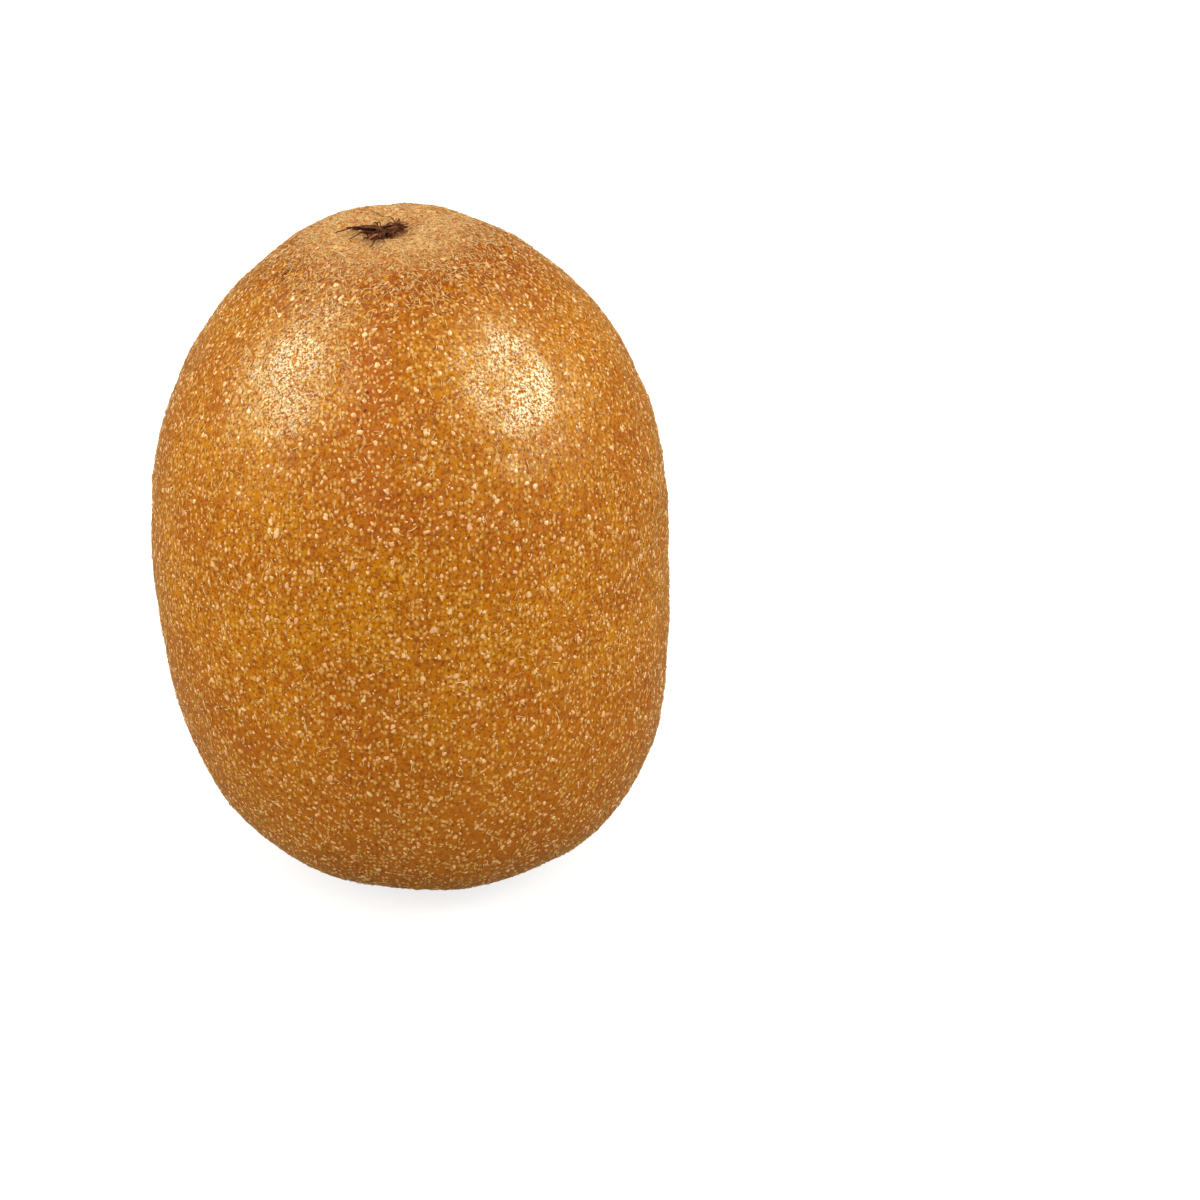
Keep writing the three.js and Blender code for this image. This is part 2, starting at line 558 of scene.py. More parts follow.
def laid_paths(
    form: FruitForm,
    roots: Array,
    lengths: Array,
    headings: Array,
    curls: Array,
    lifts: Array,
) -> tuple[Array, Array]:
    """Paths that lie along the skin.

    A path leaves its root at its heading, and bends aside by curl * length * share². Each of its
    points is put on the skin and then lifted off it.

    Args:
        form: The fruit.
        roots: Directions of the roots from the middle.
        lengths: Length of each path.
        headings: Angle of each from straight down the fruit.
        curls: How far each one bends aside, as a share of its length.
        lifts: Height above the skin, as paths x steps.

    Returns:
        The points and the directions out of the skin there.
    """
    sites = form.sites(roots)
    ahead = sites.towards(headings)
    aside = np.cross(sites.normals, ahead)
    share = np.linspace(0, 1, lifts.shape[1])[:, None]
    reach = lengths[:, None, None]
    flat = sites.points[:, None] + reach * share * ahead[:, None]
    flat = flat + reach * curls[:, None, None] * share * share * aside[:, None]
    directions = unit(flat)
    normals = form.normals(directions)
    return form.surface(directions) + lifts[..., None] * normals, normals


class NodeSheet:
    """Places nodes in one node tree and feeds their sockets."""

    def __init__(self, tree: Tree) -> None:
        """Keeps the tree."""
        self.tree = tree

    def feed(self, socket: Socket, value: Feed) -> None:
        """Links a socket to another one, or sets it to a constant."""
        if isinstance(value, Socket):
            self.tree.links.new(value, socket)
        else:
            socket.default_value = value

    def add(self, kind: str, feeds: dict[str | int, Feed], **settings: object) -> Node:
        """Adds a node.

        Args:
            kind: The node's type.
            feeds: What each input gets, by its name or its number.
            settings: Values for the node's own properties.

        Returns:
            The node.
        """
        node = self.tree.nodes.new(kind)
        for name, value in settings.items():
            setattr(node, name, value)
        for name, value in feeds.items():
            self.feed(node.inputs[name], value)
        return node

    def object_place(self) -> Socket:
        """Returns the place on the piece, in metres."""
        return self.add("ShaderNodeTexCoord", {}).outputs["Object"]

    def value_of(self, name: str) -> Socket:
        """Returns a value that the mesh carries at its vertices."""
        return self.add("ShaderNodeAttribute", {}, attribute_name=name).outputs["Fac"]

    def noise(self, place: Feed, scale: Feed, detail: float, roughness: float = 0.55) -> Socket:
        """Returns a cloudy value around 0.5."""
        feeds = {"Vector": place, "Scale": scale, "Detail": detail, "Roughness": roughness}
        return self.add("ShaderNodeTexNoise", feeds).outputs["Fac"]

    def remap(self, value: Feed, low: Feed, high: Feed, to_low: Feed = 0.0, to_high: Feed = 1.0) -> Socket:
        """Returns a value taken from one range to another along a smooth step."""
        feeds = {"Value": value, "From Min": low, "From Max": high, "To Min": to_low, "To Max": to_high}
        return self.add("ShaderNodeMapRange", feeds, interpolation_type="SMOOTHSTEP").outputs["Result"]

    def mix(self, share: Feed, first: Feed, second: Feed) -> Socket:
        """Returns the first colour, with that share of the second laid over it."""
        feeds = {0: share, 6: first, 7: second}
        return self.add("ShaderNodeMix", feeds, data_type="RGBA").outputs[2]

    def math(self, operation: str, first: Feed, second: Feed = 0.0) -> Socket:
        """Returns the result of one step of arithmetic."""
        return self.add("ShaderNodeMath", {0: first, 1: second}, operation=operation).outputs[0]

    def shared(self, group: "SharedEffect", **feeds: Feed) -> Socket:
        """Returns the only output of a shared effect."""
        node = self.tree.nodes.new("ShaderNodeGroup")
        node.node_tree = group.tree()
        for name, value in feeds.items():
            self.feed(node.inputs[name.replace("_", " ").capitalize()], value)
        return node.outputs[0]


class SharedEffect(Enum):
    """Effects that several finishes use, each built once as a node group."""

    MOTTLE = "uneven colour"
    SPECKLE = "scattered specks"
    GRAIN = "fine grain"
    STREAK = "colour along a strand"

    def tree(self) -> Tree:
        """Returns the effect's node group, which it builds the first time."""
        found = bpy.data.node_groups.get(self.value)
        if found:
            return found
        builders = {
            SharedEffect.MOTTLE: mottle_group,
            SharedEffect.SPECKLE: speckle_group,
            SharedEffect.GRAIN: grain_group,
            SharedEffect.STREAK: streak_group,
        }
        return builders[self](self.value)


def empty_group(
    name: str, inputs: dict[str, str], output: tuple[str, str]
) -> tuple[NodeSheet, Node, Socket]:
    """Starts a node group.

    Args:
        name: The group's name.
        inputs: Socket kind of each input, by name.
        output: Name and socket kind of its output.

    Returns:
        The sheet to place nodes on, the node that gives the inputs, and the output's socket.
    """
    tree = bpy.data.node_groups.new(name, "ShaderNodeTree")
    for label, kind in inputs.items():
        tree.interface.new_socket(label, in_out="INPUT", socket_type=f"NodeSocket{kind}")
    tree.interface.new_socket(output[0], in_out="OUTPUT", socket_type=f"NodeSocket{output[1]}")
    given = tree.nodes.new("NodeGroupInput")
    result = tree.nodes.new("NodeGroupOutput")
    return NodeSheet(tree), given, result.inputs[0]


def mottle_group(name: str) -> Tree:
    """Builds cloudy patches between two colours."""
    kinds = {"Place": "Vector", "Scale": "Float", "Dark": "Color", "Light": "Color"}
    sheet, given, result = empty_group(name, kinds, ("Colour", "Color"))
    cloud = sheet.noise(given.outputs["Place"], given.outputs["Scale"], 4.0, 0.6)
    share = sheet.remap(cloud, 0.33, 0.67)
    sheet.feed(result, sheet.mix(share, given.outputs["Dark"], given.outputs["Light"]))
    return sheet.tree


def speckle_group(name: str) -> Tree:
    """Builds specks: the near parts of random cells, in a random share of the cells."""
    kinds = {"Place": "Vector", "Scale": "Float", "Size": "Float", "Share": "Float"}
    sheet, given, result = empty_group(name, kinds, ("Mask", "Float"))
    place, scale = given.outputs["Place"], given.outputs["Scale"]
    cells = sheet.add("ShaderNodeTexVoronoi", {"Vector": place, "Scale": scale})
    ragged = sheet.noise(place, sheet.math("MULTIPLY", scale, 2.5), 2.0)
    away = sheet.math("ADD", cells.outputs["Distance"], sheet.remap(ragged, 0.2, 0.8, -0.12, 0.12))
    inner = sheet.math("MULTIPLY", given.outputs["Size"], 0.55)
    speck = sheet.remap(away, given.outputs["Size"], inner)
    chance = sheet.add("ShaderNodeSeparateColor", {"Color": cells.outputs["Color"]}).outputs["Red"]
    chosen = sheet.math("LESS_THAN", chance, given.outputs["Share"])
    sheet.feed(result, sheet.math("MULTIPLY", speck, chosen))
    return sheet.tree


def grain_group(name: str) -> Tree:
    """Builds a finely uneven normal."""
    kinds = {"Place": "Vector", "Scale": "Float", "Depth": "Float"}
    sheet, given, result = empty_group(name, kinds, ("Normal", "Vector"))
    height = sheet.noise(given.outputs["Place"], given.outputs["Scale"], 3.0, 0.6)
    bump = sheet.add("ShaderNodeBump", {"Height": height, "Distance": given.outputs["Depth"]})
    sheet.feed(result, bump.outputs["Normal"])
    return sheet.tree


def streak_group(name: str) -> Tree:
    """Builds a colour that runs from root to tip and differs a little from strand to strand."""
    kinds = {"Along": "Float", "Tint": "Float", "Root": "Color", "Tip": "Color", "Odd": "Color"}
    sheet, given, result = empty_group(name, kinds, ("Colour", "Color"))
    run = sheet.mix(given.outputs["Along"], given.outputs["Root"], given.outputs["Tip"])
    sheet.feed(result, sheet.mix(given.outputs["Tint"], run, given.outputs["Odd"]))
    return sheet.tree


def plain_material(name: str) -> tuple[Material, NodeSheet, Node]:
    """Starts a material.

    Args:
        name: The material's name.

    Returns:
        The material, a sheet for its nodes, and its shader.
    """
    material = bpy.data.materials.new(name)
    material.use_nodes = True
    return material, NodeSheet(material.node_tree), material.node_tree.nodes["Principled BSDF"]


@dataclass(frozen=True)
class SkinFinish:
    """Satin golden-brown skin with pale and dark specks, downy and paler round the eye.

    Spacings are in millimetres. Shares say how much of a colour goes over the ones under it. The dark specks
    are sunk pits whose dark colour is partly painted shadow.
    """

    deep: Colour = srgb(182, 94, 0)
    golden: Colour = srgb(214, 138, 2)
    # Reddish brown: the skin's own russet in a band down its side, and partly painted shade on the eye's
    # floor and in the hollows beside the flower remains.
    russet_and_hollow_shade: Colour = srgb(178, 82, 10)
    # A duller, darker tone that grows towards the stem end.
    stem_end_tone: Colour = srgb(180, 98, 22)
    down_shade: Colour = srgb(184, 96, 8)
    down: Colour = srgb(255, 220, 144)
    fleck: Colour = srgb(246, 190, 98)
    # Dark brown of the sunk pits, partly painted shadow standing in for the tiny shadows of flecks and hairs.
    pit_and_speck_shadow: Colour = srgb(128, 56, 0)
    # Dark orange of the fine gaps in the grain, also used as painted shade between the hairs round the eye.
    gap_and_hair_shade: Colour = srgb(150, 70, 0)
    patch_spacing: float = 9.0
    mottle_spacing: float = 0.8
    crumb_spacing: float = 0.32
    hair_shade_spacing: float = 0.45
    pit_and_shadow_spacing: float = 0.5
    fleck_spacing: float = 0.42
    felt_spacing: float = 0.5
    wax_spacing: float = 0.26
    drawn_out: tuple[float, float, float] = (1.0, 1.0, 0.75)
    crumb_share: float = 0.85
    pit_and_shadow_share: float = 0.45
    fleck_share: float = 0.6
    felt_share: float = 0.9
    roughness: float = 0.5
    downy_roughness: float = 0.85
    relief: float = 0.05
    index: float = 1.45
    gloss: float = 0.05
    coat_roughness: float = 0.29
    coat_index: float = 1.5
    sheen: float = 0.3
    sheen_roughness: float = 0.3
    sheen_tint: Colour = srgb(255, 206, 140)

    def material(self) -> Material:
        """Builds the material: its colour, its relief, and a coat of wax that down covers."""
        made, sheet, shader = plain_material("golden_skin")
        place = sheet.object_place()
        long = sheet.add("ShaderNodeMapping", {"Vector": place, "Scale": self.drawn_out}).outputs["Vector"]
        downy_share = sheet.value_of("downy")
        crumb = sheet.noise(place, PER_MM / self.crumb_spacing, 3.0, 0.65)
        # Dark pits: sunk in the relief below, and their dark colour is partly painted shadow.
        pits_and_speck_shadows = sheet.shared(
            SharedEffect.SPECKLE, place=long, scale=PER_MM / self.pit_and_shadow_spacing, size=0.46, share=0.4
        )
        flecks = sheet.shared(
            SharedEffect.SPECKLE, place=long, scale=PER_MM / self.fleck_spacing, size=0.52, share=0.55
        )
        ground = self.ground(sheet, place, long, crumb)
        colour = sheet.mix(sheet.math("MULTIPLY", pits_and_speck_shadows, self.pit_and_shadow_share), ground, self.pit_and_speck_shadow)
        colour = sheet.mix(sheet.math("MULTIPLY", flecks, self.fleck_share), colour, self.fleck)
        tones = {"dark": self.down_shade, "light": self.down}
        felt = sheet.shared(SharedEffect.MOTTLE, place=place, scale=PER_MM / self.felt_spacing, **tones)
        colour = sheet.mix(sheet.math("MULTIPLY", downy_share, self.felt_share), colour, felt)
        sheet.feed(shader.inputs["Base Color"], colour)
        roughness = sheet.remap(downy_share, 0.0, 0.7, self.roughness, self.downy_roughness)
        sheet.feed(shader.inputs["Roughness"], roughness)
        marks = sheet.math("SUBTRACT", sheet.math("MULTIPLY", flecks, 0.7), sheet.math("MULTIPLY", pits_and_speck_shadows, 0.5))
        height = sheet.math("ADD", marks, crumb)
        bump = sheet.add("ShaderNodeBump", {"Height": height, "Distance": self.relief * MM})
        sheet.feed(shader.inputs["Normal"], bump.outputs["Normal"])
        wax = sheet.remap(sheet.noise(place, PER_MM / self.wax_spacing, 2.0, 0.6), 0.44, 0.58)
        uncovered = sheet.remap(downy_share, 0.0, 0.6, 1.0, 0.0)
        sheet.feed(shader.inputs["Coat Weight"], sheet.math("MULTIPLY", wax, uncovered))
        shader.inputs["IOR"].default_value = self.index
        shader.inputs["Specular IOR Level"].default_value = self.gloss
        shader.inputs["Coat Roughness"].default_value = self.coat_roughness
        shader.inputs["Coat IOR"].default_value = self.coat_index
        shader.inputs["Sheen Weight"].default_value = self.sheen
        shader.inputs["Sheen Roughness"].default_value = self.sheen_roughness
        shader.inputs["Sheen Tint"].default_value = self.sheen_tint
        return made

    def ground(self, sheet: NodeSheet, place: Socket, long: Socket, crumb: Socket) -> Socket:
        """Builds the colour between the specks: two sizes of mottle and gaps, russet with painted shade in
        the eye's hollows, painted shade between the hairs round the eye, and a duller, darker tone towards
        the stem end.

        Args:
            sheet: Where the nodes go.
            place: The place on the skin.
            long: The same place, with patterns drawn out down the fruit.
            crumb: A fine cloudy value, which is low in the gaps.

        Returns:
            The colour.
        """
        skin = {"dark": self.deep, "light": self.golden}
        broad = sheet.shared(SharedEffect.MOTTLE, place=place, scale=PER_MM / self.patch_spacing, **skin)
        fine = sheet.shared(SharedEffect.MOTTLE, place=long, scale=PER_MM / self.mottle_spacing, **skin)
        colour = sheet.mix(0.5, broad, fine)
        colour = sheet.mix(sheet.remap(crumb, 0.53, 0.38, 0.0, self.crumb_share), colour, self.gap_and_hair_shade)
        # Russet: the skin's own colour in the band, partly painted shade on the eye's floor and in its
        # hollows.
        colour = sheet.mix(sheet.value_of("russet_and_hollow_shade"), colour, self.russet_and_hollow_shade)
        # Painted shade between the hairs round the eye: the shaded share, broken up by fine noise, darkens
        # the ground.
        between = sheet.remap(sheet.noise(place, PER_MM / self.hair_shade_spacing, 2.0, 0.6), 0.56, 0.42)
        colour = sheet.mix(sheet.math("MULTIPLY", sheet.value_of("shaded"), between), colour, self.gap_and_hair_shade)
        # Duller and darker towards the stem end.
        return sheet.mix(sheet.value_of("stem_end_tone"), colour, self.stem_end_tone)


@dataclass(frozen=True)
class StrandFinish:
    """Colour along bristles, down or dried fibres, with a fine grain."""

    name: str
    root: Colour
    tip: Colour
    odd: Colour
    roughness: float
    grain_spacing: float
    grain_depth: float
    gloss: float
    patchy: float = 0.25
    patch_spacing: float = 0.3

    def material(self) -> Material:
        """Builds the material."""
        made, sheet, shader = plain_material(self.name)
        place = sheet.object_place()
        cloud = sheet.noise(place, PER_MM / self.patch_spacing, 2.0, 0.6)
        patches = sheet.remap(cloud, 0.44, 0.62, 0.0, self.patchy)
        colour = sheet.shared(
            SharedEffect.STREAK,
            along=sheet.value_of("along"),
            tint=sheet.math("ADD", sheet.value_of("tint"), patches),
            root=self.root,
            tip=self.tip,
            odd=self.odd,
        )
        sheet.feed(shader.inputs["Base Color"], colour)
        grain = sheet.shared(
            SharedEffect.GRAIN, place=place, scale=PER_MM / self.grain_spacing, depth=self.grain_depth * MM
        )
        sheet.feed(shader.inputs["Normal"], grain)
        shader.inputs["Roughness"].default_value = self.roughness
        shader.inputs["Specular IOR Level"].default_value = self.gloss
        return made


SPOTS = StrandFinish(
    "pale_spots",
    root=srgb(214, 136, 38),
    tip=srgb(252, 210, 144),
    odd=srgb(242, 172, 112),
    roughness=0.36,
    grain_spacing=0.16,
    grain_depth=0.03,
    gloss=0.6,
)
BRISTLES = StrandFinish(
    "pale_bristles",
    root=srgb(240, 176, 80),
    tip=srgb(255, 234, 168),
    odd=srgb(222, 146, 54),
    roughness=0.36,
    grain_spacing=0.2,
    grain_depth=0.01,
    gloss=0.35,
)
DOWN = StrandFinish(
    "tan_down",
    root=srgb(226, 144, 44),
    tip=srgb(255, 242, 178),
    odd=srgb(200, 112, 26),
    roughness=0.5,
    grain_spacing=0.2,
    grain_depth=0.01,
    gloss=0.3,
)
# The odd colour, a pale pinkish tan on some fibres and in patches, is partly the fibres' own paler colour and
# partly painted highlight.
DRIED = StrandFinish(
    "dried_fibres",
    root=srgb(14, 6, 3),
    tip=srgb(80, 30, 10),
    odd=srgb(170, 98, 60),
    roughness=0.7,
    grain_spacing=0.12,
    grain_depth=0.05,
    gloss=0.08,
    patchy=0.12,
)
SCARS = StrandFinish(
    "dark_scars",
    root=srgb(176, 92, 20),
    tip=srgb(128, 58, 12),
    odd=srgb(70, 28, 8),
    roughness=0.7,
    grain_spacing=0.12,
    grain_depth=0.03,
    gloss=0.1,
    patchy=0.3,
)


@dataclass
class Piece:
    """One finished piece of the fruit."""

    name: str
    shape: Shape
    material: Material
    slot: str
    stands_for: str | None = None

    def make(self, form: FruitForm) -> None:
        """Makes the mesh object where the fruit stands, and hands it to the frame.

        Args:
            form: The fruit that it is part of.
        """
        mesh = bpy.data.meshes.new(self.name)
        triangles = self.shape.triangles.astype(np.int32)
        mesh.vertices.add(len(self.shape.vertices))
        mesh.vertices.foreach_set("co", form.placed(self.shape.vertices).astype(np.float32).ravel())
        mesh.loops.add(triangles.size)
        mesh.loops.foreach_set("vertex_index", triangles.ravel())
        mesh.polygons.add(len(triangles))
        mesh.polygons.foreach_set("loop_start", np.arange(0, triangles.size, 3, dtype=np.int32))
        for label, values in self.shape.values.items():
            carried = mesh.attributes.new(label, "FLOAT", "POINT")
            carried.data.foreach_set("value", values.astype(np.float32))
        mesh.update(calc_edges=True)
        mesh.validate()
        mesh.shade_smooth()
        mesh.materials.append(self.material)
        made = bpy.data.objects.new(self.name, mesh)
        bpy.context.scene.collection.objects.link(made)
        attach(made, "root")
        if self.stands_for:
            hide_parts(self.stands_for)
        log.info("%s: %d triangles", self.name, len(triangles))


@dataclass
class Skin:
    """The skin itself, from the eye's floor to the stem scar."""

    around: int = 400
    rings: int = 246
    crowding: float = 0.45
    band_turn_deg: float = -97.0
    band_width_deg: float = 7.5
    band_foot: tuple[float, float] = (6.0, 16.0)
    band_top: tuple[float, float] = (31.0, 26.0)
    floor_reach: tuple[float, float] = (4.5, 1.5)
    felt_at_eye: tuple[float, float] = (10.5, 4.0)
    felt_at_stem: tuple[float, float] = (8.0, 4.5)
    shaded_reach: tuple[float, float] = (20.0, 10.0)
    stem_end_tone_heights: tuple[float, float] = (4.0, -32.0)
    bare_hollows: tuple[tuple[float, float, float], ...] = ((2.8, 1.0, 1.7), (-2.3, -4.2, 1.0))

    def shape(self, form: FruitForm) -> Shape:
        """Lays the rings over the form and closes both ends.

        Args:
            form: The fruit.

        Returns:
            The shape, with how downy each place is, its painted shade between hairs, its russet with painted
            shade in the eye's hollows, and its darker tone towards the stem end.
        """
        top, bottom = np.array([[0, 0, 1.0]]), np.array([[0, 0, -1.0]])
        between = form.grid(self.around, self.rings, self.crowding)
        points = form.surface(np.concatenate([top, between, bottom]))
        felted = self.felted(points)
        # Painted shade: a darker ground between the hairs in a ring round the eye, with less of it where the
        # down is dense.
        shaded = smooth_step(*self.shaded_reach, from_axis(points)) * (points[:, 2] > 0)
        values = {
            "downy": felted,
            "shaded": shaded * (1 - 0.8 * felted),
            "russet_and_hollow_shade": self.russet_and_hollow_shade(points),
            "stem_end_tone": self.stem_end_tone(points),
        }
        return Shape(points, ring_triangles(self.rings, self.around), values)

    def russet_and_hollow_shade(self, points: Array) -> Array:
        """How reddish each place is.

        A soft band down the viewer's side, which is the skin's own russet, and the eye's floor and the bare
        places beside the flower remains, where the darker red is partly painted shade in those hollows.

        Args:
            points: Places on the skin.

        Returns:
            A share from 0 to 1 for each.
        """
        turn = np.degrees(np.arctan2(points[:, 1], points[:, 0]))
        band = np.exp(-(((turn - self.band_turn_deg) / self.band_width_deg) ** 2))
        height = smooth_step(*self.band_foot, points[:, 2]) * smooth_step(*self.band_top, points[:, 2])
        away = from_axis(points)
        # On the eye's floor and in the bare hollows beside the flower remains, the darker red is partly
        # painted shade in those recesses.
        eye = 0.7 * smooth_step(*self.floor_reach, away) + 0.7 * self.bare(points)
        return np.clip(0.5 * band * height + np.where(points[:, 2] > 0, eye, 0), 0, 1)

    def bare(self, points: Array) -> Array:
        """How bare each place is: a bell round each of the hollows beside the flower remains."""
        places = np.array(self.bare_hollows)
        apart = np.linalg.norm(points[:, None, :2] - places[:, :2], axis=-1) / places[:, 2]
        return np.exp(-(apart**2)).sum(-1)

    def felted(self, points: Array) -> Array:
        """How much of the colour is that of dense down: all of it close round both ends."""
        away = from_axis(points)
        top = smooth_step(*self.felt_at_eye, away) * (1 - 0.75 * self.bare(points))
        return np.where(points[:, 2] > 0, top, 0.6 * smooth_step(*self.felt_at_stem, away))

    def stem_end_tone(self, points: Array) -> Array:
        """How much of the duller, darker tone each place has, growing towards the stem end."""
        return 0.7 * smooth_step(*self.stem_end_tone_heights, points[:, 2])

    def make(self, form: FruitForm) -> None:
        """Makes the piece."""
        Piece("skin", self.shape(form), SkinFinish().material(), "skin", "fruit").make(form)


@dataclass
class Spots:
    """Raised pale spots of one size all over the skin."""

    name: str
    per_mm2: float
    half_width: float
    width_spread: float
    height: float
    sides: int
    levels: Levels
    seed: int
    thinned_by_down: float = 0.35

    def density(self, points: Array) -> Array:
        """Where the spots stand: everywhere, and fewer of them under the down."""
        return 1 - self.thinned_by_down * downy(points)

    def make(self, form: FruitForm, material: Material) -> None:
        """Scatters the spots, each a low dome of its own size and outline.

        Args:
            form: The fruit.
            material: Their finish.
        """
        rng = np.random.default_rng(self.seed)
        directions = form.scatter(self.per_mm2, self.density, rng)
        count = len(directions)
        widths = self.half_width * np.exp(self.width_spread * np.clip(rng.normal(size=count), -2, 2))
        heights = self.height * rng.uniform(0.7, 1.3, count)
        shape = domes(
            form.sites(directions),
            widths,
            rng.uniform(0.5, 1.0, count),
            rng.normal(0, 0.7, count),
            heights,
            self.levels,
            self.sides,
            rng,
        )
        shape.values["tint"] = np.repeat(rng.random(count) ** 1.5, len(shape.vertices) // count)
        Piece(self.name, shape, material, "skin").make(form)


@dataclass(frozen=True)
class Scar:
    """One small dark mark: where it is, in degrees, and its size in millimetres."""

    turn_deg: float
    polar_deg: float
    half_length: float
    half_width: float
    heading_deg: float
    tint: float = 0.3


@dataclass
class SmallScars:
    """A short double nick beside the eye, and a few corky dots further down."""

    scars: tuple[Scar, ...] = (
        Scar(-157.1, 19.8, 0.4, 0.13, -6.0, 0.9),
        Scar(-156.2, 18.6, 0.36, 0.12, -24.0, 0.9),
        Scar(-98.0, 38.3, 0.22, 0.16, 10.0),
        Scar(-99.6, 40.1, 0.17, 0.13, 40.0, 0.1),
        Scar(-98.6, 41.6, 0.24, 0.15, -20.0),
        Scar(-100.6, 43.1, 0.16, 0.13, 0.0, 0.1),
        Scar(-99.4, 44.8, 0.2, 0.15, 30.0),
    )
    height: float = 0.09
    levels: Levels = ((0.4, 0.9), (0.75, 0.6), (1.0, -0.8))
    sides: int = 14
    seed: int = 41

    def make(self, form: FruitForm) -> None:
        """Makes the piece."""
        turn = np.radians([s.turn_deg for s in self.scars])
        polar = np.radians([s.polar_deg for s in self.scars])
        places = np.stack([np.sin(polar) * np.cos(turn), np.sin(polar) * np.sin(turn), np.cos(polar)], -1)
        lengths = np.array([s.half_length for s in self.scars])
        slimness = np.array([s.half_width for s in self.scars]) / lengths
        headings = np.radians([s.heading_deg for s in self.scars])
        heights = np.full(len(lengths), self.height)
        rng = np.random.default_rng(self.seed)
        shape = domes(form.sites(places), lengths, slimness, headings, heights, self.levels, self.sides, rng)
        tints = np.array([s.tint for s in self.scars])
        shape.values["tint"] = np.repeat(tints, len(shape.vertices) // len(tints))
        Piece("small_scars", shape, SCARS.material(), "skin").make(form)


@dataclass
class Hairs:
    """Short hairs that lie along the skin."""

    name: str
    per_mm2: float
    length: float
    length_spread: float
    half_width: float
    stand: float
    wander: float
    curl: float
    seed: int
    density: Callable[[Array], Array]
    steps: int = 3
    sides: int = 3
    flatness: float = 0.75
    upward_share: float = 0.3
    root_depth: float = 0.03
    taper: float = 0.55

    def make(self, form: FruitForm, material: Material) -> None:
        """Scatters the hairs, each with its own length, heading and curl.

        Args:
            form: The fruit.
            material: Their finish.
        """
        rng = np.random.default_rng(self.seed)
        roots = form.scatter(self.per_mm2, self.density, rng)
        count = len(roots)
        lengths = self.length * np.exp(self.length_spread * np.clip(rng.normal(size=count), -2, 2))
        headings = rng.normal(0, self.wander, count) + math.pi * (rng.random(count) < self.upward_share)
        share = np.linspace(0, 1, self.steps)
        arch = np.sin(math.pi * np.clip(share * 0.75 + 0.12, 0, 1)) - 0.5 * (1 - share)
        lifts = self.stand * rng.uniform(0.5, 1.5, (count, 1)) * arch
        lifts[:, 0] = -self.root_depth
        curls = rng.normal(0, self.curl, count)
        paths, normals = laid_paths(form, roots, lengths, headings, curls, lifts)
        radii = self.half_width * rng.uniform(0.75, 1.25, (count, 1)) * (1 - self.taper * share)
        shape = strands(paths, normals, radii, self.sides, self.flatness)
        shape.values["tint"] = np.repeat(rng.random(count) ** 2, len(shape.vertices) // count)
        Piece(self.name, shape, material, "skin").make(form)


def sides_density(points: Array) -> Array:
    """Where bristles grow on the sides: thicker towards the eye."""
    return 0.4 + 0.6 * smooth_step(12.0, 28.0, points[..., 2])


@dataclass(frozen=True)
class Fibre:
    """One dried style: places that it passes in the eye, in millimetres from the fruit's axis."""

    start: tuple[float, float]
    middle: tuple[float, float]
    end: tuple[float, float]
    lifts: tuple[float, float, float]
    half_width: float
    tint: float
    bundled: int = 3


